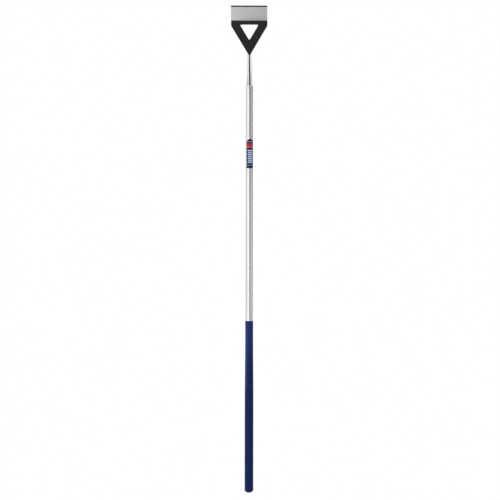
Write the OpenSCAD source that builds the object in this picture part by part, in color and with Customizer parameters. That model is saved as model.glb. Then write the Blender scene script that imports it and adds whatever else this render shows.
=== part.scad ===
// Dutch hoe: a push hoe with a cranked steel blade on a black triangular frame, a polished neck and a tube
// shaft with a moulded grip. Millimetres, +Z along the shaft towards the blade, origin at the tip of the grip's
// domed end. The face that the user sees in work looks towards -Y, and the blade leans that way.

/* [Blade] */
// Width of the blade and of the frame that carries it
head_w = 127; // [110:1:150]
// Depth of the blade from its bend to the cutting edge
blade_depth = 56; // [45:1:70]
// Thickness of the blade
blade_t = 2; // [1.5:0.1:2.6]
// Angle by which the blade turns forward from the frame, in degrees
blade_crank = 12; // [6:1:20]
// Width of the bevel ground along the cutting edge
bevel_w = 4.5; // [2:0.5:8]
// Thickness left at the cutting edge
edge_t = 0.4; // [0.3:0.1:0.8]
// Height of the blade's flange behind the crossbar
blade_lap = 12; // [11:0.5:13]
// Height of the blade's bend above the crossbar
bend_rise = 2; // [1:0.5:5]

/* [Frame] */
// Thickness of the frame plate
frame_t = 3.2; // [2.6:0.1:4]
// Height of the crossbar between the blade and the window
crossbar_h = 13.5; // [13.5:0.5:17]
// Height of the frame's upright sides
frame_side = 17.5; // [14:0.5:22]
// Length of the tapering arms, from the shoulders to the tip
frame_point = 105.9; // [90:0.1:120]
// Width of the blunt tip
tip_w = 4; // [4:0.5:8]
// Width of an arm, square to its edge
arm_w = 28.5; // [26:0.5:32]
// Radius of the shoulders
shoulder_r = 4; // [2:0.5:6]
// Radius of the tip's corners
tip_r = 1.6; // [1:0.1:1.8]
// Radius of the window's corners
window_r = 3.5; // [2:0.5:6]

/* [Blade rivets] */
// Diameter of a rivet's shank
rivet_d = 5; // [4:0.5:6]
// Diameter of a rivet's flush head and of its round tail
rivet_head_d = 8.4; // [7:0.1:9]
// Height of the round tail behind the blade
rivet_tail_h = 1.8; // [1:0.1:2.5]
// Distance between two rivets
rivet_pitch = 32; // [26:1:34]
// Number of rivets
rivet_count = 4; // [3:1:4]

/* [Neck] */
// Diameter where the neck leaves the shaft
neck_foot_d = 19.5; // [17:0.5:20]
// Diameter through the bend
neck_bend_d = 17.6; // [16:0.1:19]
// Diameter at the frame's tip
neck_head_d = 14.4; // [12:0.1:16]
// Straight length above the shaft's mouth
neck_stub = 22; // [15:1:40]
// Radius of the bend, on the neck's centreline
neck_bend_r = 170; // [120:5:240]
// Angle of the bend, which is the lean of the frame, in degrees
head_lean = 14; // [8:1:24]
// Straight length from the bend to the frame's tip
neck_run = 46.2; // [35:0.1:60]
// Depth of the step that grinding leaves where the bend meets that straight
blend_depth = 0.03; // [0.02:0.01:0.05]
// Length of the flat behind the frame
lap_len = 42; // [36:1:46]
// Depth of that flat, ground into the neck's front
lap_depth = 0.6; // [0.4:0.1:2]
// Length of the neck's tapered end
nose_len = 6; // [4:0.5:8]
// Diameter at the end of the taper
nose_d = 9; // [8:0.5:11]
// Radius of the weld bead on each side of the flat
weld_r = 3; // [2.5:0.1:3.5]
// Width of bare plate at the start of a weld bead
weld_margin = 1; // [0.5:0.5:3]
// Length of the collar that the shaft's mouth holds
collar_len = 12; // [8:1:20]
// Diameter of the tail inside the shaft
tail_d = 13; // [11:0.5:15]
// Length of the tail below the collar
tail_len = 76; // [72:1:90]
// Chamfer at the end of the tail
tail_chamfer = 2; // [1:0.5:3]

/* [Shaft] */
// Outer diameter of the tube
tube_d = 25; // [24:0.1:27]
// Wall of the tube
tube_wall = 1.5; // [1:0.1:1.6]
// Length of the tube with its rolled mouth
tube_len = 1417.2; // [1200:0.1:1600]
// Outer radius of the rolled mouth
mouth_r = 8; // [6:0.5:9]
// Clearance of each slip fit, on the radius
fit_gap = 0.1; // [0.05:0.01:0.2]
// Length of the bush round the tail
bush_len = 66; // [56:1:70]
// Width of the bush's slot
bush_slot = 2; // [1:0.5:4]
// Diameter of the shaft rivet
pin_d = 5; // [4:0.5:6]
// Diameter of the shaft rivet's round head
pin_head_d = 9; // [8:0.5:11]
// Height of that head over the tube
pin_head_h = 1.8; // [1.2:0.1:2.5]
// Depth of the shaft rivet past the middle of the tail
pin_depth = 3; // [1:0.5:4]
// Distance of the shaft rivet below the mouth
pin_drop = 48; // [36:1:56]

/* [Label] */
// Width of the label, straight across
label_w = 22.6; // [16:0.1:23]
// Length of the label with its arch
label_len = 102; // [80:1:130]
// Thickness of the film
label_t = 0.2; // [0.1:0.05:0.4]
// Layer of glue under the film
glue_t = 0.05; // [0.02:0.01:0.1]
// Distance from the shaft's mouth to the top of the label
label_drop = 187; // [150:1:260]
// Turn of the label round the shaft, in degrees
label_turn = 14; // [-30:1:30]

/* [Grip] */
// Diameter of the grip
grip_d = 30.2; // [29:0.1:34]
// Diameter of its slim upper end
grip_top_d = 27.6; // [27.2:0.1:29]
// Length of the grip sleeve
grip_len = 593.2; // [500:0.1:700]
// Length of its cylindrical part
barrel_len = 302; // [200:1:340]
// Length of its taper
taper_len = 250; // [100:1:280]
// Chamfer round its upper end
lip = 0.8; // [0.4:0.1:0.9]
// Height of the domed end
dome_h = 7.8; // [6:0.1:14]
// Length of the plug inside the tube
plug_len = 28; // [20:1:40]
// Wall of the plug
plug_wall = 2; // [1.5:0.1:3]
// Depth of the plug's ribs
rib_depth = 0.6; // [0.3:0.1:1]
// Width of a rib
rib_w = 2; // [1:0.5:3]
// Number of ribs
rib_count = 3; // [2:1:4]

/* [Hidden] */
$fn = 72;
past = 1;

// Shaft, from the grip's end up
tube_r = tube_d / 2;
bore_r = tube_r - tube_wall;
mouth_z = dome_h + tube_len;
mouth_bore_r = neck_foot_d / 2 + fit_gap;
roll_x = tube_r - mouth_r;
roll_h = sqrt(pow(mouth_r, 2) - pow(mouth_bore_r - roll_x, 2));
roll_z = mouth_z - roll_h;
collar_r = bore_r - fit_gap;
collar_z = roll_z - collar_len;
pin_z = mouth_z - pin_drop;

// Head frame of reference: its origin is where the bend ends, its Z runs up the neck and the frame

// Frame, up from its tip
shoulder_z = neck_run + frame_point;
crossbar_z = shoulder_z + frame_side;
window_z = crossbar_z - crossbar_h;
arm_slope = (head_w - tip_w) / 2 / frame_point;
arm_across = arm_w / cos(atan(arm_slope));
window_half_w = tip_w / 2 + arm_slope * (window_z - neck_run) - arm_across;
window_foot_z = neck_run + (arm_across - tip_w / 2) / arm_slope;
rivet_z = crossbar_z - crossbar_h / 2;
rivet_xs = [for (i = [0 : rivet_count - 1]) (i - (rivet_count - 1) / 2) * rivet_pitch];
lap_offset = neck_head_d / 2 - lap_depth;
flat_half_w = sqrt(pow(neck_head_d / 2, 2) - pow(lap_offset, 2));
weld_x = flat_half_w + weld_r;
weld_start = (weld_x + weld_r - tip_w / 2) / arm_slope + weld_margin;

function unit(v) = v / norm(v);

// The two points where a round leaves a corner's sides, and the centre of the round
function corner_round(before, corner, after, r) =
    let (
        a = unit(before - corner),
        b = unit(after - corner),
        half_angle = acos(a * b) / 2
    )
    [
        corner + a * r / tan(half_angle),
        corner + b * r / tan(half_angle),
        corner + unit(a + b) * r / sin(half_angle)
    ];

// Convex outline with its own round at each corner
module rounded_outline(points, radii) {
    n = len(points);
    rounds = [
        for (i = [0 : n - 1])
            corner_round(points[(i + n - 1) % n], points[i], points[(i + 1) % n], radii[i])
    ];
    polygon([for (round = rounds) each [round[0], round[1]]]);
    for (i = [0 : n - 1])
        translate(rounds[i][2]) circle(r = radii[i]);
}

// Cap of a ball: d across its flat side and h high
module dome(d, h) {
    ball_r = (pow(d / 2, 2) + h * h) / (2 * h);
    intersection() {
        translate([0, 0, h - ball_r]) sphere(r = ball_r);
        translate([-d, -d, 0]) cube([2 * d, 2 * d, h + past]);
    }
}

module at_bend() {
    translate([0, 0, mouth_z]) translate([0, -neck_bend_r, neck_stub]) children();
}

module at_head() {
    at_bend() rotate([head_lean, 0, 0]) translate([0, neck_bend_r, 0]) children();
}

// Stands a shape on the frame's back at each rivet, with its Z towards the back
module at_rivets() {
    for (x = rivet_xs)
        translate([x, -lap_offset, rivet_z]) rotate([-90, 0, 0]) children();
}

// Shank and flush head of a rivet, sunk into the frame's front
module rivet_shape() {
    translate([0, 0, -frame_t]) {
        cylinder(d = rivet_d, h = frame_t + blade_t);
        cylinder(d1 = rivet_head_d, d2 = rivet_d, h = (rivet_head_d - rivet_d) / 2);
    }
}

// Side view of the blade: flange, bend, flat and ground bevel
function blade_side() =
    let (
        along = [-sin(blade_crank), cos(blade_crank)],
        through = [cos(blade_crank), sin(blade_crank)],
        bend = [-lap_offset, crossbar_z + bend_rise],
        tip = bend + along * blade_depth
    )
    [
        [-lap_offset, crossbar_z - blade_lap],
        bend,
        tip - along * bevel_w,
        tip + through * (blade_t - edge_t),
        tip + through * blade_t,
        bend + [blade_t, blade_t * tan(blade_crank / 2)],
        [blade_t - lap_offset, crossbar_z - blade_lap]
    ];

module cutting_blade() {
    color("silver") at_head() difference() {
        translate([-head_w / 2, 0, 0]) rotate([90, 0, 90])
            linear_extrude(head_w) polygon(blade_side());
        at_rivets() translate([0, 0, -past]) cylinder(d = rivet_d, h = blade_t + 2 * past);
    }
}

module frame_outline() {
    rounded_outline(
        [
            [-head_w / 2, crossbar_z], [-head_w / 2, shoulder_z], [-tip_w / 2, neck_run],
            [tip_w / 2, neck_run], [head_w / 2, shoulder_z], [head_w / 2, crossbar_z]
        ],
        [tip_r, shoulder_r, tip_r, tip_r, shoulder_r, tip_r]
    );
}

module window_outline() {
    rounded_outline(
        [[-window_half_w, window_z], [0, window_foot_z], [window_half_w, window_z]],
        [window_r, window_r, window_r]
    );
}

module head_frame() {
    color("#26282a") at_head() difference() {
        translate([0, -lap_offset, 0]) rotate([90, 0, 0]) linear_extrude(frame_t)
            difference() {
                frame_outline();
                window_outline();
            }
        at_rivets() rivet_shape();
    }
}

module blade_rivets() {
    color("#303234") at_head() at_rivets() {
        rivet_shape();
        translate([0, 0, blade_t]) dome(rivet_head_d, rivet_tail_h);
    }
}

// Hole for the shaft rivet, from its blind end out through the back of the tube
module pin_hole() {
    translate([0, -pin_depth, pin_z]) rotate([-90, 0, 0]) cylinder(d = pin_d, h = tube_d);
}

module neck_below_bend() {
    foot_r = neck_foot_d / 2;
    translate([0, 0, collar_z - tail_len])
        cylinder(d1 = tail_d - 2 * tail_chamfer, d2 = tail_d, h = tail_chamfer);
    translate([0, 0, collar_z - tail_len + tail_chamfer])
        cylinder(d = tail_d, h = tail_len - tail_chamfer);
    translate([0, 0, collar_z]) cylinder(r = collar_r, h = collar_len);
    translate([0, 0, roll_z]) cylinder(r1 = collar_r, r2 = foot_r, h = collar_r - foot_r);
    translate([0, 0, mouth_z - collar_len]) cylinder(r = foot_r, h = collar_len);
    translate([0, 0, mouth_z]) cylinder(d1 = neck_foot_d, d2 = neck_bend_d, h = neck_stub);
}

module neck_bend() {
    at_bend() rotate([90, 0, 90])
        rotate_extrude(angle = head_lean) translate([neck_bend_r, 0]) circle(d = neck_bend_d);
}

// Straight run above the bend, rooted a little way inside it
module neck_straight() {
    root_d = neck_bend_d - 2 * blend_depth;
    translate([0, 0, -past]) cylinder(d = root_d, h = past);
    cylinder(d1 = root_d, d2 = neck_head_d, h = neck_run);
}

module neck_lap() {
    translate([0, 0, neck_run]) difference() {
        union() {
            cylinder(d = neck_head_d, h = lap_len - nose_len);
            translate([0, 0, lap_len - nose_len])
                cylinder(d1 = neck_head_d, d2 = nose_d, h = nose_len);
        }
        translate([-neck_head_d, -lap_offset - neck_head_d, -past])
            cube([2 * neck_head_d, neck_head_d, lap_len + 2 * past]);
    }
}

module neck() {
    color("#d5d8da") difference() {
        union() {
            neck_below_bend();
            neck_bend();
            at_head() {
                neck_straight();
                neck_lap();
            }
        }
        pin_hole();
    }
}

module neck_weld() {
    color("#3a3c3e") at_head() translate([0, 0, neck_run]) difference() {
        for (side = [-1, 1])
            translate([side * weld_x, -lap_offset, weld_start])
                cylinder(r = weld_r, h = lap_len - nose_len - weld_start);
        cylinder(d = neck_head_d, h = lap_len);
        translate([-neck_head_d, -lap_offset - neck_head_d, 0])
            cube([2 * neck_head_d, neck_head_d, lap_len]);
    }
}

module tail_bush() {
    color("#e4e1d6") difference() {
        translate([0, 0, collar_z - bush_len]) cylinder(r = collar_r, h = bush_len);
        translate([0, 0, collar_z - bush_len - past])
            cylinder(d = tail_d + 2 * fit_gap, h = bush_len + 2 * past);
        translate([-bush_slot / 2, -tube_r, collar_z - bush_len - past])
            cube([bush_slot, tube_r, bush_len + 2 * past]);
        pin_hole();
    }
}

module shaft_tube() {
    color("#c9ccce") difference() {
        rotate_extrude() {
            translate([bore_r, dome_h]) square([tube_wall, roll_z - dome_h]);
            translate([roll_x, roll_z]) intersection() {
                difference() {
                    circle(r = mouth_r);
                    circle(r = mouth_r - tube_wall);
                }
                translate([mouth_bore_r - roll_x, 0]) square(mouth_r);
            }
        }
        pin_hole();
    }
}

module shaft_rivet() {
    color("#a8abad") {
        translate([0, -pin_depth, pin_z]) rotate([-90, 0, 0])
            cylinder(d = pin_d, h = pin_depth + tube_r);
        difference() {
            translate([0, bore_r, pin_z]) rotate([-90, 0, 0])
                dome(pin_head_d, tube_wall + pin_head_h);
            translate([0, 0, pin_z - pin_head_d]) cylinder(r = tube_r, h = 2 * pin_head_d);
        }
    }
}

module label_outline() {
    translate([-label_w / 2, -label_len]) square([label_w, label_len - label_w / 2]);
    translate([0, -label_w / 2]) circle(d = label_w);
}

module shaft_label() {
    film_r = tube_r + glue_t;
    color("#1b2350") translate([0, 0, mouth_z - label_drop]) rotate([0, 0, label_turn])
        intersection() {
            translate([0, 0, -label_len - past]) difference() {
                cylinder(r = film_r + label_t, h = label_len + 2 * past);
                translate([0, 0, -past]) cylinder(r = film_r, h = label_len + 4 * past);
            }
            rotate([90, 0, 0]) linear_extrude(tube_d) label_outline();
        }
}

module grip_sleeve() {
    inner_r = tube_r + fit_gap;
    top_r = grip_top_d / 2;
    color("#1f2c5c") translate([0, 0, dome_h]) rotate_extrude() polygon([
        [inner_r, 0], [grip_d / 2, 0], [grip_d / 2, barrel_len], [top_r, barrel_len + taper_len],
        [top_r, grip_len - lip], [top_r - lip, grip_len], [inner_r, grip_len]
    ]);
}

module end_cap() {
    rib_r = bore_r - fit_gap;
    plug_r = rib_r - rib_depth;
    color("#1f2c5c") {
        mirror([0, 0, 1]) translate([0, 0, -dome_h]) dome(grip_d, dome_h);
        translate([0, 0, dome_h]) difference() {
            union() {
                cylinder(r = plug_r, h = plug_len);
                for (i = [1 : rib_count])
                    translate([0, 0, i * plug_len / (rib_count + 1) - rib_w / 2])
                        cylinder(r = rib_r, h = rib_w);
            }
            cylinder(r = plug_r - plug_wall, h = plug_len + past);
        }
    }
}

cutting_blade();
head_frame();
blade_rivets();
neck();
neck_weld();
tail_bush();
shaft_tube();
shaft_rivet();
shaft_label();
grip_sleeve();
end_cap();
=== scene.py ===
import math

import bmesh
import bpy
from mathutils import Matrix, Vector


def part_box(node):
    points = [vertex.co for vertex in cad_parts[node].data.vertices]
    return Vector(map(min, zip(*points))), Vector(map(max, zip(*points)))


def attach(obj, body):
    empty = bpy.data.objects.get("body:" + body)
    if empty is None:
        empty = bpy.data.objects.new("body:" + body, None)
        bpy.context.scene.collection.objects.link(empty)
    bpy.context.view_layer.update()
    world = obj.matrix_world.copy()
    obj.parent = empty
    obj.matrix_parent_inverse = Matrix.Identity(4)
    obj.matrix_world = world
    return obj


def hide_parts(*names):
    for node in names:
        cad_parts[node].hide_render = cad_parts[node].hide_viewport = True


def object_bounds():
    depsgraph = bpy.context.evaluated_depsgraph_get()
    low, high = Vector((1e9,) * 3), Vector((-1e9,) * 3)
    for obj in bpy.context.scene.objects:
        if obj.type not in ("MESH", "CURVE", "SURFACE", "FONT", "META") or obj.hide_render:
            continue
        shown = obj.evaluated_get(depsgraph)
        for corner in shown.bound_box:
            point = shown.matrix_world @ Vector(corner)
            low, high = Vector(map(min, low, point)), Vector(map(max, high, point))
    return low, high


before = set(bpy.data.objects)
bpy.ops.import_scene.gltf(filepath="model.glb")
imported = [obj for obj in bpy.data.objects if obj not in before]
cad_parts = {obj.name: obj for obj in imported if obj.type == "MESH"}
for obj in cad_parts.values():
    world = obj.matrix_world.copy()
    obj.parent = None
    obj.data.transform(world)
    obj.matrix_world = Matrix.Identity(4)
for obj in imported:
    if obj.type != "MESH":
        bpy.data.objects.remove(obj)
cad_low, cad_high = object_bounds()


# Head frame
# A plate of 3.2 mm steel, blanked with a triangular window, which carries the blade across its top.
# Its edges are tumbled round, and a fine black powder coat is baked on once the neck is welded to it.

mm = 0.001
neck_stub = 22 * mm
neck_bend_r = 170 * mm
neck_run = 46.2 * mm
head_lean = math.radians(14)
neck_head_r = 7.2 * mm
lap_depth = 0.6 * mm
frame_t = 3.2 * mm
frame_side = 17.5 * mm
frame_point = 105.9 * mm
crossbar_h = 13.5 * mm
tip_w = 4 * mm
arm_w = 28.5 * mm
tip_r = 1.6 * mm
shoulder_r = 4 * mm
window_r = 3.5 * mm
frame_edge_r = 0.5 * mm
rivet_r = 2.5 * mm
rivet_head_r = 4.2 * mm
rivet_pitch = 32 * mm
blade_t = 2 * mm
coat_black = (0.0155, 0.0163, 0.0161, 1)
coat_grey = (0.0215, 0.0226, 0.0222, 1)

# How far a cutter reaches past a face, and how near to a height an edge counts as being there
margin = 1 * mm

# Nearly all of a noise pattern lies between these two values
noise_low = 0.3
noise_high = 0.7

frame_low, frame_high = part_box("head_frame")
head_w = frame_high.x - frame_low.x
mouth_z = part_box("shaft_tube")[1].z
lap_offset = neck_head_r - lap_depth
shoulder_z = neck_run + frame_point
crossbar_z = shoulder_z + frame_side
window_z = crossbar_z - crossbar_h
arm_slope = (head_w - tip_w) / 2 / frame_point
arm_across = arm_w * math.hypot(1, arm_slope)
window_half_w = tip_w / 2 + arm_slope * (window_z - neck_run) - arm_across
window_foot_z = neck_run + (arm_across - tip_w / 2) / arm_slope
rivet_z = crossbar_z - crossbar_h / 2
rivet_xs = [side * rivet_pitch for side in (-1.5, -0.5, 0.5, 1.5)]

# The head's own axes: the origin is where the neck's bend ends, Z runs up the frame and Y to the back
head_place = (
    Matrix.Translation((0, -neck_bend_r, mouth_z + neck_stub))
    @ Matrix.Rotation(head_lean, 4, "X")
    @ Matrix.Translation((0, neck_bend_r, 0))
)
rivet_place = (
    Matrix.Translation((0, -lap_offset - frame_t, rivet_z))
    @ Matrix.Rotation(-math.pi / 2, 4, "X")
)


def pick(piece):
    """Makes one piece the only one that the next operators work on."""
    bpy.ops.object.select_all(action="DESELECT")
    piece.select_set(True)
    bpy.context.view_layer.objects.active = piece


def place(piece, matrix):
    """Moves a finished mesh to its place, with its object left at the origin."""
    pick(piece)
    piece.matrix_world = matrix
    bpy.ops.object.transform_apply(location=True, rotation=True, scale=True)


def add_block(name, low, high):
    """A box between two corners, the start of a flat piece."""
    bpy.ops.object.select_all(action="DESELECT")
    centre = [(a + b) / 2 for a, b in zip(low, high)]
    extent = [b - a for a, b in zip(low, high)]
    bpy.ops.mesh.primitive_cube_add(size=1, location=centre, scale=extent)
    piece = bpy.context.object
    piece.name = name
    bpy.ops.object.transform_apply(location=True, rotation=True, scale=True)
    return piece


def select_where(kind, test):
    """Selects the points, edges or faces that pass a test, on the piece in edit mode."""
    bpy.ops.mesh.select_mode(type=kind)
    bpy.ops.mesh.select_all(action="DESELECT")
    mesh = bmesh.from_edit_mesh(bpy.context.object.data)
    parts = {"VERT": mesh.verts, "EDGE": mesh.edges, "FACE": mesh.faces}[kind]
    for part in parts:
        if test(part):
            part.select_set(True)
    mesh.select_flush_mode()
    bmesh.update_edit_mesh(bpy.context.object.data)


def round_corners(low_z, high_z, radius):
    """Rounds a plate's corners between two heights: their edges run through the plate, along Y."""
    select_where(
        "EDGE",
        lambda edge: all(low_z < point.co.z < high_z for point in edge.verts)
        and abs((edge.verts[0].co - edge.verts[1].co).normalized().y) > 0.99,
    )
    mesh = bmesh.from_edit_mesh(bpy.context.object.data)
    turn = max(edge.calc_face_angle() for edge in mesh.edges if edge.select)
    bpy.ops.mesh.bevel(offset=radius * math.tan(turn / 2), segments=12, affect="EDGES")


def turned(name, rings, closed=False, segments=96):
    """A piece turned about Z: each ring is a radius and a height, drawn out from the ring before it."""
    radius, height = rings[0]
    bpy.ops.object.select_all(action="DESELECT")
    bpy.ops.mesh.primitive_circle_add(vertices=segments, radius=radius, location=(0, 0, height))
    piece = bpy.context.object
    piece.name = name
    bpy.ops.object.transform_apply(location=True, rotation=True, scale=True)
    bpy.ops.object.mode_set(mode="EDIT")
    bpy.ops.mesh.select_all(action="SELECT")
    for next_radius, next_height in rings[1:]:
        bpy.ops.mesh.extrude_region_move(
            TRANSFORM_OT_translate={"value": (0, 0, next_height - height)}
        )
        growth = next_radius / radius
        bpy.ops.transform.resize(value=(growth, growth, 1), center_override=(0, 0, next_height))
        radius, height = next_radius, next_height
    bpy.ops.mesh.select_all(action="SELECT")
    if closed:
        bpy.ops.mesh.remove_doubles(threshold=0.001 * mm)
    else:
        bpy.ops.mesh.fill_holes(sides=0)
    bpy.ops.mesh.normals_make_consistent(inside=False)
    bpy.ops.object.mode_set(mode="OBJECT")
    return piece


def cut_away(piece, cutter):
    """Takes the cutter's shape out of a piece and removes the cutter."""
    pick(piece)
    bpy.ops.object.modifier_add(type="BOOLEAN")
    cut = piece.modifiers[-1]
    cut.operation = "DIFFERENCE"
    cut.solver = "EXACT"
    cut.object = cutter
    bpy.ops.object.modifier_apply(modifier=cut.name)
    bpy.data.objects.remove(cutter)


def soften_edges(piece, radius, segments=3):
    """Rounds every edge that turns by more than 50 degrees."""
    pick(piece)
    bpy.ops.object.modifier_add(type="BEVEL")
    bevel = piece.modifiers[-1]
    bevel.width = radius
    bevel.segments = segments
    bevel.limit_method = "ANGLE"
    bevel.angle_limit = math.radians(50)
    bevel.use_clamp_overlap = False
    bpy.ops.object.modifier_apply(modifier=bevel.name)


def smooth_shade(piece, degrees=40, flat_faces=False):
    """Shades a piece smooth over turns up to an angle. Large flat faces keep their own direction."""
    pick(piece)
    bpy.ops.object.shade_smooth_by_angle(angle=math.radians(degrees))
    if flat_faces:
        bpy.ops.object.modifier_add(type="WEIGHTED_NORMAL")
        weigh = piece.modifiers[-1]
        weigh.keep_sharp = True
        bpy.ops.object.modifier_apply(modifier=weigh.name)


def new_finish(name):
    """A new material with its node tree and its shader."""
    finish = bpy.data.materials.new(name)
    finish.use_nodes = True
    return finish, finish.node_tree, finish.node_tree.nodes["Principled BSDF"]


def grain(tree, size, stretch=(1, 1, 1), detail=3):
    """Noise over a piece, with grains of a size in metres, drawn out along each axis by its stretch."""
    where = tree.nodes.new("ShaderNodeTexCoord")
    mapping = tree.nodes.new("ShaderNodeMapping")
    mapping.inputs["Scale"].default_value = [1 / times for times in stretch]
    noise = tree.nodes.new("ShaderNodeTexNoise")
    noise.inputs["Scale"].default_value = 1 / size
    noise.inputs["Detail"].default_value = detail
    tree.links.new(where.outputs["Object"], mapping.inputs["Vector"])
    tree.links.new(mapping.outputs["Vector"], noise.inputs["Vector"])
    return noise.outputs["Fac"]


def vary_colour(tree, shader, pattern, first, second):
    """Lets the base colour go from one colour to another with a pattern."""
    ramp = tree.nodes.new("ShaderNodeValToRGB")
    ramp.color_ramp.elements[0].position = noise_low
    ramp.color_ramp.elements[0].color = first
    ramp.color_ramp.elements[1].position = noise_high
    ramp.color_ramp.elements[1].color = second
    tree.links.new(pattern, ramp.inputs["Fac"])
    tree.links.new(ramp.outputs["Color"], shader.inputs["Base Color"])


def vary_roughness(tree, shader, pattern, low, high):
    """Lets the roughness go from low to high with a pattern."""
    spread = tree.nodes.new("ShaderNodeMapRange")
    spread.inputs["From Min"].default_value = noise_low
    spread.inputs["From Max"].default_value = noise_high
    spread.inputs["To Min"].default_value = low
    spread.inputs["To Max"].default_value = high
    tree.links.new(pattern, spread.inputs["Value"])
    tree.links.new(spread.outputs["Result"], shader.inputs["Roughness"])


def raise_surface(tree, shader, pattern, height):
    """Gives the surface a relief of a height in metres from a pattern."""
    bump = tree.nodes.new("ShaderNodeBump")
    bump.inputs["Distance"].default_value = height
    tree.links.new(pattern, bump.inputs["Height"])
    tree.links.new(bump.outputs["Normal"], shader.inputs["Normal"])


def powder_coat():
    """Black powder coat: charcoal with faint clouds, and a fine orange peel."""
    finish, tree, shader = new_finish("black_powder_coat")
    vary_colour(tree, shader, grain(tree, 9 * mm), coat_black, coat_grey)
    vary_roughness(tree, shader, grain(tree, 2 * mm), 0.48, 0.62)
    raise_surface(tree, shader, grain(tree, 0.7 * mm, detail=2), 0.05 * mm)
    shader.inputs["Specular IOR Level"].default_value = 0.15
    return finish


def window_cutter():
    """A three-cornered block with rounded corners, which cuts the window."""
    cutter = add_block(
        "window_cutter",
        (-window_half_w, -lap_offset - frame_t - margin, window_foot_z),
        (window_half_w, -lap_offset + margin, window_z),
    )
    bpy.ops.object.mode_set(mode="EDIT")
    select_where("FACE", lambda face: face.normal.z < -0.9)
    bpy.ops.transform.resize(value=(0, 1, 1), center_override=(0, 0, 0))
    bpy.ops.mesh.select_all(action="SELECT")
    bpy.ops.mesh.remove_doubles(threshold=0.01 * mm)
    round_corners(window_z - margin, window_z + margin, window_r)
    round_corners(window_foot_z - margin, window_foot_z + margin, window_r)
    bpy.ops.object.mode_set(mode="OBJECT")
    return cutter


def rivet_cutter(x):
    """The hole and the countersink of one rivet."""
    countersink = rivet_head_r - rivet_r
    cutter = turned(
        "rivet_cutter",
        [
            (rivet_head_r + margin, -margin),
            (rivet_r, countersink),
            (rivet_r, frame_t + blade_t + margin),
        ],
        segments=48,
    )
    place(cutter, Matrix.Translation((x, 0, 0)) @ rivet_place)
    return cutter


coated_frame = add_block(
    "coated_frame",
    (-head_w / 2, -lap_offset - frame_t, shoulder_z),
    (head_w / 2, -lap_offset, crossbar_z),
)
bpy.ops.object.mode_set(mode="EDIT")
select_where("FACE", lambda face: face.normal.z < -0.9)
bpy.ops.mesh.extrude_region_move(TRANSFORM_OT_translate={"value": (0, 0, -frame_point)})
bpy.ops.transform.resize(value=(tip_w / head_w, 1, 1), center_override=(0, 0, neck_run))
round_corners(crossbar_z - margin, crossbar_z + margin, tip_r)
round_corners(shoulder_z - margin, shoulder_z + margin, shoulder_r)
round_corners(neck_run - margin, neck_run + margin, tip_r)
bpy.ops.object.mode_set(mode="OBJECT")
cut_away(coated_frame, window_cutter())
soften_edges(coated_frame, frame_edge_r)
for x in rivet_xs:
    cut_away(coated_frame, rivet_cutter(x))
smooth_shade(coated_frame, flat_faces=True)
place(coated_frame, head_place)

coat = powder_coat()
coated_frame.data.materials.append(coat)
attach(coated_frame, "root")
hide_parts("head_frame")


# Cutting blade
# A strip of 2 mm spring steel, bent forward just above the crossbar and riveted behind it by its flange.
# Its faces are satin ground along the strip, and a bright bevel is ground along the cutting edge.

blade_depth = 56 * mm
blade_crank = math.radians(12)
blade_lap = 12 * mm
bend_rise = 2 * mm
bend_reach = 3 * mm
bevel_w = 4.5 * mm
edge_t = 0.4 * mm
blade_edge_r = 0.12 * mm
steel_pale = (0.66, 0.66, 0.655, 1)
steel_grey = (0.58, 0.58, 0.575, 1)

bend_z = crossbar_z + bend_rise
blade_up = Vector((0, -math.sin(blade_crank), math.cos(blade_crank)))
blade_back = Vector((0, math.cos(blade_crank), math.sin(blade_crank)))
bend_line = Vector((0, -lap_offset, bend_z))
bevel_foot = bend_line + blade_up * (blade_depth - bevel_w)
bevel_top = bend_line + blade_up * blade_depth + blade_back * (blade_t - edge_t)
bevel_normal = Vector((1, 0, 0)).cross(bevel_top - bevel_foot).normalized()


def on_bend(edge):
    """True for the two edges across the blade where it bends."""
    middle = (edge.verts[0].co + edge.verts[1].co) / 2
    return abs(middle.z - bend_z) < margin and abs(middle.x) < margin


def satin_steel():
    """Bright steel with fine lines along the strip."""
    finish, tree, shader = new_finish("satin_ground_steel")
    lines = grain(tree, 0.25 * mm, stretch=(160, 1, 1))
    vary_colour(tree, shader, grain(tree, 0.6 * mm, stretch=(90, 1, 1)), steel_grey, steel_pale)
    vary_roughness(tree, shader, lines, 0.24, 0.34)
    raise_surface(tree, shader, lines, 0.003 * mm)
    shader.inputs["Metallic"].default_value = 1
    return finish


def ground_edge():
    """The bevel's finer finish, with its grinding lines across the edge."""
    finish, tree, shader = new_finish("ground_cutting_edge")
    lines = grain(tree, 0.2 * mm, stretch=(1, 40, 40))
    vary_colour(tree, shader, grain(tree, 3 * mm), steel_grey, steel_pale)
    vary_roughness(tree, shader, lines, 0.06, 0.11)
    raise_surface(tree, shader, lines, 0.0008 * mm)
    shader.inputs["Metallic"].default_value = 1
    return finish


ground_blade = add_block(
    "ground_blade",
    (-head_w / 2, -lap_offset, crossbar_z - blade_lap),
    (head_w / 2, -lap_offset + blade_t, bend_z),
)
bpy.ops.object.mode_set(mode="EDIT")
select_where("FACE", lambda face: face.normal.z > 0.9)
bpy.ops.mesh.extrude_region_move(TRANSFORM_OT_translate={"value": (0, 0, blade_depth)})
bpy.ops.transform.rotate(value=-blade_crank, orient_axis="X", center_override=bend_line)
select_where("EDGE", lambda edge: on_bend(edge) and edge.verts[0].co.y > -lap_offset + blade_t / 2)
bpy.ops.transform.translate(value=(0, 0, blade_t * math.tan(blade_crank / 2)))
select_where("EDGE", on_bend)
bpy.ops.mesh.bevel(offset=bend_reach, segments=8, affect="EDGES", clamp_overlap=False)
bpy.ops.mesh.select_all(action="SELECT")
bpy.ops.mesh.bisect(plane_co=bevel_foot, plane_no=bevel_normal, use_fill=True, clear_outer=True)
bpy.ops.object.mode_set(mode="OBJECT")
soften_edges(ground_blade, blade_edge_r, segments=2)
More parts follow.
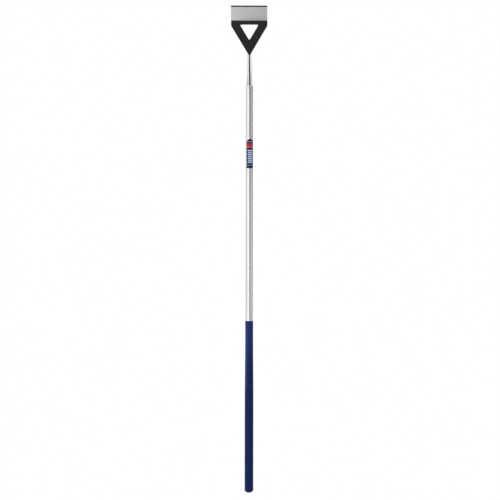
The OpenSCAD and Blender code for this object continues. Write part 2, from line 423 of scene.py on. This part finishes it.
for x in rivet_xs:
    cut_away(ground_blade, rivet_cutter(x))
smooth_shade(ground_blade, degrees=15, flat_faces=True)
ground_blade.data.materials.append(satin_steel())
ground_blade.data.materials.append(ground_edge())
for face in ground_blade.data.polygons:
    if face.normal.dot(bevel_normal) > 0.999:
        face.material_index = 1
place(ground_blade, head_place)
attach(ground_blade, "root")
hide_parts("cutting_blade")


# Blade rivets
# Four steel rivets through the crossbar and the blade's flange, their heads flush in the frame's front.
# Their tails are set round behind the blade, and the frame's powder coat covers both ends.

rivet_tail_h = 1.8 * mm
rivet_rim = 0.15 * mm
pole_r = 0.02 * mm


def dome_rings(base_r, base_z, height, steps=10):
    """Rings of a ball's cap, up from its base to its pole."""
    ball_r = (base_r ** 2 + height ** 2) / (2 * height)
    ball_z = base_z + height - ball_r
    start = math.asin((base_z - ball_z) / ball_r)
    lifts = [start + (math.pi / 2 - start) * step / steps for step in range(steps + 1)]
    return [(max(ball_r * math.cos(lift), pole_r), ball_z + ball_r * math.sin(lift)) for lift in lifts]


rivet_back = frame_t + blade_t
first_rivet = turned(
    "blade_rivet_set",
    [
        (rivet_head_r - rivet_rim, 0),
        (rivet_head_r, rivet_rim),
        (rivet_r, rivet_head_r - rivet_r),
        (rivet_r, rivet_back),
        *dome_rings(rivet_head_r, rivet_back, rivet_tail_h),
    ],
    segments=48,
)
smooth_shade(first_rivet)
rivets = [first_rivet]
for _ in rivet_xs[1:]:
    rivet = first_rivet.copy()
    rivet.data = first_rivet.data.copy()
    bpy.context.scene.collection.objects.link(rivet)
    rivets.append(rivet)
for rivet, x in zip(rivets, rivet_xs):
    place(rivet, head_place @ Matrix.Translation((x, 0, 0)) @ rivet_place)
for rivet in rivets:
    rivet.select_set(True)
bpy.context.view_layer.objects.active = first_rivet
bpy.ops.object.join()
first_rivet.data.materials.append(coat)
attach(first_rivet, "root")
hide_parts("blade_rivets")


# Neck
# A round steel bar, swaged to a taper and bent into a slight swan neck, with a flat ground in its front.
# It is polished and bright plated where it shows. Its collar and tail sit inside the shaft's mouth.

neck_foot_r = 9.75 * mm
neck_bend_d = 17.6 * mm
lap_len = 42 * mm
nose_len = 6 * mm
nose_r = 4.5 * mm
collar_len = 12 * mm
tail_r = 6.5 * mm
tail_len = 76 * mm
tail_chamfer = 2 * mm
tube_r = 12.5 * mm
tube_wall = 1.5 * mm
mouth_r = 8 * mm
fit_gap = 0.1 * mm
step_t = 0.05 * mm
run_steps = 16
stub_steps = 10
neck_pale = (0.68, 0.69, 0.70, 1)
neck_grey = (0.63, 0.64, 0.65, 1)

neck_bend_half = neck_bend_d / 2
bore_r = tube_r - tube_wall
collar_r = bore_r - fit_gap
mouth_bore_r = neck_foot_r + fit_gap
roll_x = tube_r - mouth_r
roll_h = math.sqrt(mouth_r ** 2 - (mouth_bore_r - roll_x) ** 2)
down_shaft = Vector((0, -math.sin(head_lean), -math.cos(head_lean)))
bend_foot = Vector((0, neck_bend_r * (math.cos(head_lean) - 1), -neck_bend_r * math.sin(head_lean)))


def ease(share):
    """Goes from 0 to 1 with a smooth start and end."""
    return share * share * (3 - 2 * share)


def draw_neck(rings, start, direction, radius):
    """Draws the selected ring out from start, through rings of a radius and a distance."""
    reached = 0
    for next_radius, distance in rings:
        bpy.ops.mesh.extrude_region_move(
            TRANSFORM_OT_translate={"value": direction * (distance - reached)}
        )
        growth = next_radius / radius
        bpy.ops.transform.resize(
            value=(growth, growth, growth), center_override=start + direction * distance
        )
        radius, reached = next_radius, distance
    return radius


def polished_plate():
    """Bright plating with faint lines along the neck."""
    finish, tree, shader = new_finish("polished_plating")
    lines = grain(tree, 0.3 * mm, stretch=(1, 1, 50))
    vary_colour(tree, shader, grain(tree, 6 * mm, stretch=(1, 1, 4)), neck_grey, neck_pale)
    vary_roughness(tree, shader, lines, 0.05, 0.10)
    raise_surface(tree, shader, lines, 0.0004 * mm)
    shader.inputs["Metallic"].default_value = 1
    return finish


lap_top = neck_run + lap_len
bpy.ops.object.select_all(action="DESELECT")
bpy.ops.mesh.primitive_circle_add(vertices=96, radius=nose_r, location=(0, 0, lap_top))
polished_neck = bpy.context.object
polished_neck.name = "polished_neck"
bpy.ops.object.transform_apply(location=True, rotation=True, scale=True)
bpy.ops.object.mode_set(mode="EDIT")
bpy.ops.mesh.select_all(action="SELECT")
run_rings = [
    (
        neck_head_r + (neck_bend_half - neck_head_r) * ease(step / run_steps),
        lap_len + neck_run * step / run_steps,
    )
    for step in range(run_steps + 1)
]
draw_neck(
    [(neck_head_r, nose_len), (neck_head_r, lap_len - step_t), *run_rings],
    Vector((0, 0, lap_top)),
    Vector((0, 0, -1)),
    nose_r,
)
bpy.ops.mesh.spin(steps=16, angle=head_lean, center=(0, -neck_bend_r, 0), axis=(1, 0, 0))
stub_rings = [
    (
        neck_bend_half + (neck_foot_r - neck_bend_half) * (step / stub_steps) ** 2,
        neck_stub * step / stub_steps,
    )
    for step in range(1, stub_steps + 1)
]
collar_top = neck_stub + roll_h
tail_top = collar_top + collar_len
draw_neck(
    [
        *stub_rings,
        (neck_foot_r, collar_top - (collar_r - neck_foot_r)),
        (collar_r, collar_top),
        (collar_r, tail_top),
        (tail_r, tail_top),
        (tail_r, tail_top + tail_len - tail_chamfer),
        (tail_r - tail_chamfer, tail_top + tail_len),
    ],
    bend_foot,
    down_shaft,
    neck_bend_half,
)
bpy.ops.mesh.select_all(action="SELECT")
bpy.ops.mesh.remove_doubles(threshold=0.001 * mm)
bpy.ops.mesh.fill_holes(sides=0)
bpy.ops.mesh.normals_make_consistent(inside=False)
select_where(
    "VERT", lambda point: point.co.z > neck_run + step_t / 2 and point.co.y < -lap_offset
)
bpy.ops.transform.resize(value=(1, 0, 1), center_override=(0, -lap_offset, 0))
bpy.ops.object.mode_set(mode="OBJECT")
smooth_shade(polished_neck)
place(polished_neck, head_place)
polished_neck.data.materials.append(polished_plate())
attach(polished_neck, "root")
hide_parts("neck")


# Neck weld
# Two beads of weld, one on each side of the neck's flat, that hold it to the back of the frame.
# Each is laid in overlapping pools, and the frame's powder coat covers them.

weld_r = 3 * mm
weld_margin = 1 * mm
weld_root = 0.6 * mm
pool_step = 2 * mm
pool_squash = 0.62
weld_voxel = 0.22 * mm
flat_half_w = math.sqrt(neck_head_r ** 2 - lap_offset ** 2)
weld_x = flat_half_w + weld_r
weld_low = neck_run + (weld_x + weld_r - tip_w / 2) / arm_slope + weld_margin
weld_high = neck_run + lap_len - nose_len
pool_count = int((weld_high - weld_low - 2 * weld_r * pool_squash) / pool_step) + 1


def weld_bead(side):
    """A row of flattened pools, the start of one bead."""
    bpy.ops.object.select_all(action="DESELECT")
    bpy.ops.mesh.primitive_uv_sphere_add(
        segments=32,
        ring_count=16,
        radius=weld_r,
        location=(side * weld_x, -lap_offset, weld_low + weld_r * pool_squash),
        scale=(1, 1, pool_squash),
    )
    bead = bpy.context.object
    bpy.ops.object.transform_apply(location=True, rotation=True, scale=True)
    bpy.ops.object.modifier_add(type="ARRAY")
    pools = bead.modifiers[-1]
    pools.count = pool_count
    pools.use_relative_offset = False
    pools.use_constant_offset = True
    pools.constant_offset_displace = (0, 0, pool_step)
    bpy.ops.object.modifier_apply(modifier=pools.name)
    return bead


weld_beads = weld_bead(-1)
weld_beads.name = "weld_beads"
other_bead = weld_bead(1)
pick(weld_beads)
other_bead.select_set(True)
bpy.ops.object.join()
bpy.ops.object.modifier_add(type="REMESH")
weld_skin = weld_beads.modifiers[-1]
weld_skin.mode = "VOXEL"
weld_skin.voxel_size = weld_voxel
bpy.ops.object.modifier_apply(modifier=weld_skin.name)
bpy.ops.object.modifier_add(type="SMOOTH")
weld_flow = weld_beads.modifiers[-1]
weld_flow.factor = 0.5
weld_flow.iterations = 3
bpy.ops.object.modifier_apply(modifier=weld_flow.name)
bpy.ops.object.mode_set(mode="EDIT")
bpy.ops.mesh.select_all(action="SELECT")
bpy.ops.mesh.bisect(
    plane_co=(0, -lap_offset - weld_root, 0), plane_no=(0, -1, 0), use_fill=True, clear_outer=True
)
bpy.ops.object.mode_set(mode="OBJECT")
smooth_shade(weld_beads)
place(weld_beads, head_place)
weld_beads.data.materials.append(coat)
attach(weld_beads, "root")
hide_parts("neck_weld")


# Tail bush
# A slotted bush of natural nylon, moulded in one shot, that centres the neck's tail in the tube.
# It hides inside the shaft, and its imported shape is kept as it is.

nylon_pale = (0.74, 0.71, 0.63, 1)
nylon_deep = (0.68, 0.64, 0.55, 1)


def natural_nylon():
    """Uncoloured nylon, a little cloudy."""
    finish, tree, shader = new_finish("natural_nylon")
    vary_colour(tree, shader, grain(tree, 5 * mm), nylon_deep, nylon_pale)
    vary_roughness(tree, shader, grain(tree, 1 * mm), 0.45, 0.6)
    raise_surface(tree, shader, grain(tree, 0.8 * mm), 0.02 * mm)
    return finish


tail_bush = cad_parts["tail_bush"]
tail_bush.data.materials.clear()
tail_bush.data.materials.append(natural_nylon())


# Shaft tube
# A drawn aluminium tube, 25 mm across, whose mouth is rolled in round the neck's collar.
# It is satin anodised, with faint lines along its length from drawing and from the anodiser's brush.

roll_steps = 14
pin_r = 2.5 * mm
pin_drop = 48 * mm
tube_pale = (0.86, 0.865, 0.87, 1)
tube_grey = (0.80, 0.805, 0.81, 1)

tube_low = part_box("shaft_tube")[0].z
roll_z = mouth_z - roll_h
pin_place = Matrix.Translation((0, 0, mouth_z - pin_drop)) @ Matrix.Rotation(-math.pi / 2, 4, "X")


def roll_rings(radius):
    """Rings of the rolled mouth, up from the tube's straight side to its mouth bore."""
    reach = math.acos((mouth_bore_r - roll_x) / radius)
    turns = [reach * step / roll_steps for step in range(roll_steps + 1)]
    return [(roll_x + radius * math.cos(turn), roll_z + radius * math.sin(turn)) for turn in turns]


def satin_tube():
    """Satin anodised metal with faint lines along the tube."""
    finish, tree, shader = new_finish("satin_anodised_tube")
    lines = grain(tree, 0.35 * mm, stretch=(1, 1, 2000))
    vary_colour(tree, shader, grain(tree, 1.6 * mm, stretch=(1, 1, 500)), tube_grey, tube_pale)
    vary_roughness(tree, shader, lines, 0.33, 0.40)
    raise_surface(tree, shader, lines, 0.002 * mm)
    shader.inputs["Metallic"].default_value = 1
    return finish


shaft = turned(
    "satin_tube",
    [
        (tube_r, tube_low),
        *roll_rings(mouth_r),
        *reversed(roll_rings(mouth_r - tube_wall)),
        (bore_r, tube_low),
        (tube_r, tube_low),
    ],
    closed=True,
)
pin_hole = turned("pin_hole", [(pin_r, 0), (pin_r, tube_r + margin)], segments=48)
place(pin_hole, pin_place)
cut_away(shaft, pin_hole)
smooth_shade(shaft)
shaft.data.materials.append(satin_tube())
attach(shaft, "root")
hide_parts("shaft_tube")


# Shaft rivet
# An aluminium rivet from the back of the tube through the bush into the neck's tail, to stop it turning.
# Its round head is pressed down to the tube's own curve.

pin_depth = 3 * mm
pin_head_r = 4.5 * mm
pin_head_h = 1.8 * mm
rivet_pale = (0.70, 0.71, 0.72, 1)
rivet_grey = (0.60, 0.61, 0.62, 1)


def satin_rivet():
    """Plain aluminium, dulled by the press."""
    finish, tree, shader = new_finish("satin_rivet")
    vary_colour(tree, shader, grain(tree, 1.5 * mm), rivet_grey, rivet_pale)
    vary_roughness(tree, shader, grain(tree, 0.5 * mm), 0.26, 0.4)
    raise_surface(tree, shader, grain(tree, 0.6 * mm), 0.01 * mm)
    shader.inputs["Metallic"].default_value = 1
    return finish


tube_rivet = turned(
    "tube_rivet",
    [
        (pin_r, -pin_depth),
        (pin_r, bore_r),
        *dome_rings(pin_head_r, bore_r, tube_wall + pin_head_h, steps=14),
    ],
    segments=64,
)
place(tube_rivet, pin_place)
smooth_shade(tube_rivet)
tube_rivet.data.materials.append(satin_rivet())
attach(tube_rivet, "root")
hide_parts("shaft_rivet")


# Shaft label
# A gloss printed film with an arched top, stuck round the tube's front and turned a little to the right.
# It carries a plain print of bands and bars on a navy ground, and no words.

label_w = 22.6 * mm
label_t = 0.2 * mm
glue_t = 0.05 * mm
label_turn = math.radians(14)
label_cols = 40
label_rows = 60
print_navy = (0.0035, 0.0105, 0.070, 1)
print_blue = (0.0050, 0.0135, 0.084, 1)
print_pale = (0.50, 0.60, 0.84, 1)
print_red = (0.52, 0.022, 0.045, 1)
print_orange = (0.83, 0.20, 0.05, 1)

# Bands across the label: the middle and the half width, as shares of its length, and the ink
print_bands = [
    (0.905, 0.006, print_pale),
    (0.795, 0.055, print_red),
    (0.718, 0.014, print_orange),
    (0.100, 0.006, print_pale),
]

# Bars between the last two bands, as shares of its length, and their half widths, as shares of its width
bar_count = 7
bar_low = 0.20
bar_step = 0.068
bar_half = 0.021
bar_reaches = (0.34, 0.28)

label_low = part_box("shaft_label")[0].z
label_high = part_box("shaft_label")[1].z
arch_r = label_w / 2
film_r = tube_r + glue_t


def band(tree, value, middle, half):
    """1 where a value lies within half of the middle, and 0 elsewhere."""
    compare = tree.nodes.new("ShaderNodeMath")
    compare.operation = "COMPARE"
    compare.inputs[1].default_value = middle
    compare.inputs[2].default_value = half
    tree.links.new(value, compare.inputs[0])
    return compare.outputs["Value"]


def both(tree, first, second):
    """1 where both patterns are 1."""
    product = tree.nodes.new("ShaderNodeMath")
    product.operation = "MULTIPLY"
    tree.links.new(first, product.inputs[0])
    tree.links.new(second, product.inputs[1])
    return product.outputs["Value"]


def mix_in(tree, under, pattern, ink):
    """Mixes an ink into a colour by a pattern: none where it is 0, and the ink alone where it is 1."""
    mix = tree.nodes.new("ShaderNodeMix")
    mix.data_type = "RGBA"
    share, first_colour, second_colour = mix.inputs[0], mix.inputs[6], mix.inputs[7]
    second_colour.default_value = ink
    tree.links.new(pattern, share)
    tree.links.new(under, first_colour)
    return mix.outputs[2]


def printed_film():
    """The label's print under a gloss film: bands and bars on navy."""
    finish, tree, shader = new_finish("printed_film")
    vary_colour(tree, shader, grain(tree, 8 * mm), print_navy, print_blue)
    ground = shader.inputs["Base Color"].links[0].from_socket
    uv = tree.nodes.new("ShaderNodeUVMap")
    uv.uv_map = "film"
    split = tree.nodes.new("ShaderNodeSeparateXYZ")
    tree.links.new(uv.outputs["UV"], split.inputs["Vector"])
    across = split.outputs["X"]
    along = split.outputs["Y"]
    colour = ground
    for middle, half, ink in print_bands:
        colour = mix_in(tree, colour, band(tree, along, middle, half), ink)
    for bar in range(bar_count):
        stripe = band(tree, along, bar_low + bar_step * bar, bar_half)
        width = band(tree, across, 0.5, bar_reaches[bar % 2])
        colour = mix_in(tree, colour, both(tree, stripe, width), print_pale)
    tree.links.new(colour, shader.inputs["Base Color"])
    vary_roughness(tree, shader, grain(tree, 2 * mm), 0.22, 0.32)
    raise_surface(tree, shader, grain(tree, 3 * mm), 0.01 * mm)
    shader.inputs["Specular IOR Level"].default_value = 0.2
    return finish


bpy.ops.object.select_all(action="DESELECT")
bpy.ops.mesh.primitive_grid_add(x_subdivisions=label_cols, y_subdivisions=label_rows, size=1)
film_label = bpy.context.object
film_label.name = "film_label"
film_label.data.uv_layers[0].name = "film"
for point in film_label.data.vertices:
    x = point.co.x * label_w
    top = label_high - arch_r + math.sqrt(max(arch_r ** 2 - x ** 2, 0))
    z = label_low + (top - label_low) * (point.co.y + 0.5)
    point.co = (x, -math.sqrt(film_r ** 2 - x ** 2), z)
for loop in film_label.data.loops:
    point = film_label.data.vertices[loop.vertex_index].co
    film_label.data.uv_layers["film"].data[loop.index].uv = (
        0.5 + math.asin(point.x / film_r) / (2 * math.asin(arch_r / film_r)),
        (point.z - label_low) / (label_high - label_low),
    )
bpy.ops.object.modifier_add(type="SOLIDIFY")
film = film_label.modifiers[-1]
film.thickness = label_t
film.offset = 1
bpy.ops.object.modifier_apply(modifier=film.name)
smooth_shade(film_label)
place(film_label, Matrix.Rotation(label_turn, 4, "Z"))
film_label.data.materials.append(printed_film())
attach(film_label, "root")
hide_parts("shaft_label")


# Grip sleeve
# A long sleeve of dark blue vinyl, dip-moulded and stretched over the tube. It is thicker where the hand
# pushes and slimmer towards its upper end, whose colour is painted lighter there as a painted highlight.
# Its top edge is rubbed round.

grip_r = 15.1 * mm
grip_top_r = 13.8 * mm
barrel_len = 302 * mm
taper_len = 250 * mm
grip_lip = 0.8 * mm
grip_seam = 0.25 * mm
taper_steps = 24
lip_steps = 6
vinyl_navy = (0.0040, 0.0145, 0.084, 1)
vinyl_blue = (0.0050, 0.0175, 0.098, 1)
# The lighter colour and the length over which it is painted at the grip's upper end: painted light, not the
# vinyl's own colour
vinyl_painted_light = (0.0118, 0.0282, 0.134, 1)
painted_light_len = 200 * mm

grip_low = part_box("grip_sleeve")[0].z
grip_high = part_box("grip_sleeve")[1].z
sleeve_bore_r = tube_r + fit_gap


def soft_vinyl():
    """Semi-matte navy vinyl, painted lighter towards its upper end as a painted highlight."""
    finish, tree, shader = new_finish("soft_navy_vinyl")
    vary_colour(tree, shader, grain(tree, 14 * mm, stretch=(1, 1, 3)), vinyl_navy, vinyl_blue)
    vinyl_ground = shader.inputs["Base Color"].links[0].from_socket
    # Painted light: the base colour goes smoothly lighter up the grip's upper end, a painted highlight
    where = tree.nodes.new("ShaderNodeTexCoord")
    split = tree.nodes.new("ShaderNodeSeparateXYZ")
    painted_light_share = tree.nodes.new("ShaderNodeMapRange")
    painted_light_share.interpolation_type = "SMOOTHSTEP"
    painted_light_share.inputs["From Min"].default_value = grip_high - painted_light_len
    painted_light_share.inputs["From Max"].default_value = grip_high
    tree.links.new(where.outputs["Object"], split.inputs["Vector"])
    tree.links.new(split.outputs["Z"], painted_light_share.inputs["Value"])
    colour = mix_in(tree, vinyl_ground, painted_light_share.outputs["Result"], vinyl_painted_light)
    tree.links.new(colour, shader.inputs["Base Color"])
    vary_roughness(tree, shader, grain(tree, 3 * mm), 0.56, 0.66)
    raise_surface(tree, shader, grain(tree, 1.1 * mm, detail=2), 0.03 * mm)
    shader.inputs["Specular IOR Level"].default_value = 0.12
    return finish


taper_rings = [
    (
        grip_r + (grip_top_r - grip_r) * ease(step / taper_steps),
        grip_low + barrel_len + taper_len * step / taper_steps,
    )
    for step in range(taper_steps + 1)
]
lip_turns = [math.pi / 2 * step / lip_steps for step in range(lip_steps + 1)]
lip_rings = [
    (
        grip_top_r - grip_lip + grip_lip * math.cos(turn),
        grip_high - grip_lip + grip_lip * math.sin(turn),
    )
    for turn in lip_turns
]
vinyl_grip = turned(
    "vinyl_grip",
    [
        (sleeve_bore_r, grip_low),
        (grip_r - grip_seam, grip_low),
        (grip_r, grip_low + grip_seam),
        *taper_rings,
        *lip_rings,
        (sleeve_bore_r, grip_high),
        (sleeve_bore_r, grip_low),
    ],
    closed=True,
)
smooth_shade(vinyl_grip)
vinyl = soft_vinyl()
vinyl_grip.data.materials.append(vinyl)
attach(vinyl_grip, "root")
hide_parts("grip_sleeve")


# End cap
# A domed plug of the same vinyl that closes the grip's lower end, so that no edge meets hand or ground.
# Three ribs round its hollow stem hold it in the tube.

plug_len = 28 * mm
plug_wall = 2 * mm
rib_depth = 0.6 * mm
rib_w = 2 * mm
rib_count = 3

rib_r = bore_r - fit_gap
plug_r = rib_r - rib_depth
dome_rings_down = [
    (radius, grip_low - height) for radius, height in dome_rings(grip_r, 0, grip_low, steps=20)
]
rib_rings = []
for rib in range(1, rib_count + 1):
    rib_z = grip_low + rib * plug_len / (rib_count + 1)
    rib_rings += [
        (plug_r, rib_z - rib_w / 2),
        (rib_r, rib_z - rib_w / 2),
        (rib_r, rib_z + rib_w / 2),
        (plug_r, rib_z + rib_w / 2),
    ]
grip_end = turned(
    "grip_end",
    [
        *reversed(dome_rings_down[1:]),
        (grip_r, grip_low - grip_seam),
        (grip_r - grip_seam, grip_low),
        (plug_r, grip_low),
        *rib_rings,
        (plug_r, grip_low + plug_len),
        (plug_r - plug_wall, grip_low + plug_len),
        (plug_r - plug_wall, grip_low),
    ],
)
smooth_shade(grip_end)
grip_end.data.materials.append(vinyl)
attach(grip_end, "root")
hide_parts("end_cap")


# Studio
# A white floor that glows like a light table, under a soft dome, bright on the left and grey on the right.
# Pale cards and dark flags, placed for the metal and the grip, show only in reflections.
# The camera stands level and far off, with a long lens, a degree or two to the right of the hoe.

floor_size = 160
floor_light = 1
dome_light = 1.35
side_card_light = 1.2
cloth_black = (0.02, 0.02, 0.02, 1)
picture_pixels = 500
pixel = 3.5 * mm
camera_distance = 60
camera_reach = 300
camera_turn = math.radians(1.5)
camera_roll = math.radians(0.085)
camera_sensor = 36
axis_pixel = 249.28
ground_pixel = 492.72

# Shares of the dome's light, at bearings in degrees from the front towards the right
dome_stops = [
    (-180, 0.34),
    (-120, 0.47),
    (-80, 0.65),
    (-50, 0.97),
    (-35, 1.00),
    (-22, 1.00),
    (-9, 0.26),
    (30, 0.31),
    (55, 0.44),
    (75, 0.53),
    (95, 0.40),
    (125, 0.27),
    (180, 0.26),
]

# Shares of a card's light, at places in metres: across the ground card, and up the cards by the neck
ground_card_stops = [
    (-3.0, 0.35),
    (-1.0, 0.76),
    (-0.15, 0.95),
    (0.1, 0.28),
    (0.6, 0.30),
    (1.2, 0.40),
    (3.0, 0.30),
]
left_card_stops = [(1.430, 0.50), (1.472, 1.0)]
right_card_stops = [(1.455, 0.85), (1.475, 1.0)]

# Cards whose light changes along one axis: the name, the lowest and the highest corner, the light, the axis
# and the shares of light along it
graded_cards = [
    ("ground_card", (-8, -4, 0.002), (8, 8, 0.003), 1.18, "X", ground_card_stops),
    ("left_card", (-0.046, -0.040, 1.428), (-0.045, 0.030, 1.560), side_card_light, "Z", left_card_stops),
    ("right_card", (0.045, -0.040, 1.432), (0.046, 0.030, 1.560), side_card_light, "Z", right_card_stops),
]

# Cards of an even light: the name, the lowest and the highest corner, and the light
even_cards = [
    ("left_wing", (-0.046, -0.070, 1.457), (-0.045, -0.040, 1.560), side_card_light),
    ("right_wing", (0.045, -0.070, 1.457), (0.046, -0.040, 1.560), side_card_light),
    ("mouth_card", (0.0127, -0.055, 1.4275), (0.044, 0.050, 1.4280), 0.30),
    ("tube_flag", (0.12, -1.31, 1.22), (3.60, -1.30, 2.20), 0.25),
    ("tube_card", (-0.26, -0.501, 0.50), (-0.085, -0.500, 1.10), 1.55),
    ("tube_side", (0.400, -0.18, 0.56), (0.401, 0.01, 1.12), 0.76),
    ("grip_card", (-0.061, -0.045, 0.36), (-0.060, 0.020, 0.578), 5),
]

# Flags of dark cloth: the name, the lowest and the highest corner
dark_flags = [
    ("neck_flag", (-0.040, -0.101, 1.427), (0.050, -0.100, 1.585)),
    ("dark_mat", (-1.5, -25, 0.002), (1.5, -4.5, 0.003)),
]


def glow_only(name, light):
    """A plain white finish that gives off an even light of its own and reflects none."""
    finish, _, shader = new_finish(name)
    shader.inputs["Base Color"].default_value = (0, 0, 0, 1)
    shader.inputs["Specular IOR Level"].default_value = 0
    shader.inputs["Emission Color"].default_value = (1, 1, 1, 1)
    shader.inputs["Emission Strength"].default_value = light
    return finish


def dark_cloth():
    """Black cloth without gloss."""
    finish, _, shader = new_finish("dark_cloth")
    shader.inputs["Base Color"].default_value = cloth_black
    shader.inputs["Specular IOR Level"].default_value = 0
    return finish


def light_ramp(tree, value, low, high, stops):
    """A light that follows a value between low and high, through stops of a value and a share of light."""
    spread = tree.nodes.new("ShaderNodeMapRange")
    spread.inputs["From Min"].default_value = low
    spread.inputs["From Max"].default_value = high
    ramp = tree.nodes.new("ShaderNodeValToRGB")
    while len(ramp.color_ramp.elements) < len(stops):
        ramp.color_ramp.elements.new(1)
    for element, (reach, share) in zip(ramp.color_ramp.elements, stops):
        element.position = (reach - low) / (high - low)
        element.color = (share, share, share, 1)
    tree.links.new(value, spread.inputs["Value"])
    tree.links.new(spread.outputs["Result"], ramp.inputs["Fac"])
    return ramp.outputs["Color"]


def glow_along(name, light, axis, stops):
    """A finish whose own light goes through stops along one axis."""
    finish = glow_only(name, light)
    tree = finish.node_tree
    where = tree.nodes.new("ShaderNodeTexCoord")
    split = tree.nodes.new("ShaderNodeSeparateXYZ")
    tree.links.new(where.outputs["Object"], split.inputs["Vector"])
    glow = light_ramp(tree, split.outputs[axis], stops[0][0], stops[-1][0], stops)
    tree.links.new(glow, tree.nodes["Principled BSDF"].inputs["Emission Color"])
    return finish


def hang(name, low, high, finish):
    """Hangs a card or flag that shows in reflections only."""
    piece = add_block(name, low, high)
    piece.data.materials.append(finish)
    piece.visible_camera = False
    piece.visible_diffuse = False
    piece.visible_shadow = False


def soft_dome():
    """A world that is lit by bearing, as dome_stops gives it, and that the camera sees as plain white."""
    dome = bpy.data.worlds.new("soft_dome")
    dome.use_nodes = True
    tree = dome.node_tree
    light = tree.nodes["Background"]
    light.inputs["Strength"].default_value = dome_light
    where = tree.nodes.new("ShaderNodeTexCoord")
    turn = tree.nodes.new("ShaderNodeMapping")
    turn.inputs["Rotation"].default_value = (0, 0, math.pi / 2)
    split = tree.nodes.new("ShaderNodeSeparateXYZ")
    bearing = tree.nodes.new("ShaderNodeMath")
    bearing.operation = "ARCTAN2"
    tree.links.new(where.outputs["Generated"], turn.inputs["Vector"])
    tree.links.new(turn.outputs["Vector"], split.inputs["Vector"])
    tree.links.new(split.outputs["Y"], bearing.inputs[0])
    tree.links.new(split.outputs["X"], bearing.inputs[1])
    stops = [(math.radians(degrees), share) for degrees, share in dome_stops]
    around = light_ramp(tree, bearing.outputs["Value"], -math.pi, math.pi, stops)
    tree.links.new(around, light.inputs["Color"])
    backdrop = tree.nodes.new("ShaderNodeBackground")
    backdrop.inputs["Color"].default_value = (1, 1, 1, 1)
    seen = tree.nodes.new("ShaderNodeLightPath")
    choose = tree.nodes.new("ShaderNodeMixShader")
    tree.links.new(seen.outputs["Is Camera Ray"], choose.inputs["Fac"])
    tree.links.new(light.outputs["Background"], choose.inputs[1])
    tree.links.new(backdrop.outputs["Background"], choose.inputs[2])
    tree.links.new(choose.outputs["Shader"], tree.nodes["World Output"].inputs["Surface"])
    return dome


bpy.ops.object.select_all(action="DESELECT")
bpy.ops.mesh.primitive_plane_add(size=floor_size, location=(0, 0, cad_low.z))
floor = bpy.context.object
floor.name = "floor"
floor.data.materials.append(glow_only("white_floor", floor_light))
floor.visible_glossy = False

for name, low, high, light, axis, stops in graded_cards:
    hang(name, low, high, glow_along(name, light, axis, stops))
for name, low, high, light in even_cards:
    hang(name, low, high, glow_only(name, light))
cloth = dark_cloth()
for name, low, high in dark_flags:
    hang(name, low, high, cloth)
bpy.context.scene.world = soft_dome()

camera = bpy.data.cameras.new("camera")
camera.sensor_width = camera_sensor
camera.lens = camera_sensor * camera_distance / (picture_pixels * pixel)
camera.clip_end = camera_reach
camera_stand = bpy.data.objects.new("camera", camera)
camera_stand.matrix_world = (
    Matrix.Rotation(camera_turn, 4, "Z")
    @ Matrix.Translation(
        (
            (picture_pixels / 2 - axis_pixel) * pixel,
            -camera_distance,
            (ground_pixel - picture_pixels / 2) * pixel,
        )
    )
    @ Matrix.Rotation(math.pi / 2, 4, "X")
    @ Matrix.Rotation(camera_roll, 4, "Z")
)
bpy.context.scene.collection.objects.link(camera_stand)
bpy.context.scene.camera = camera_stand
bpy.context.scene.view_settings.view_transform = "Standard"
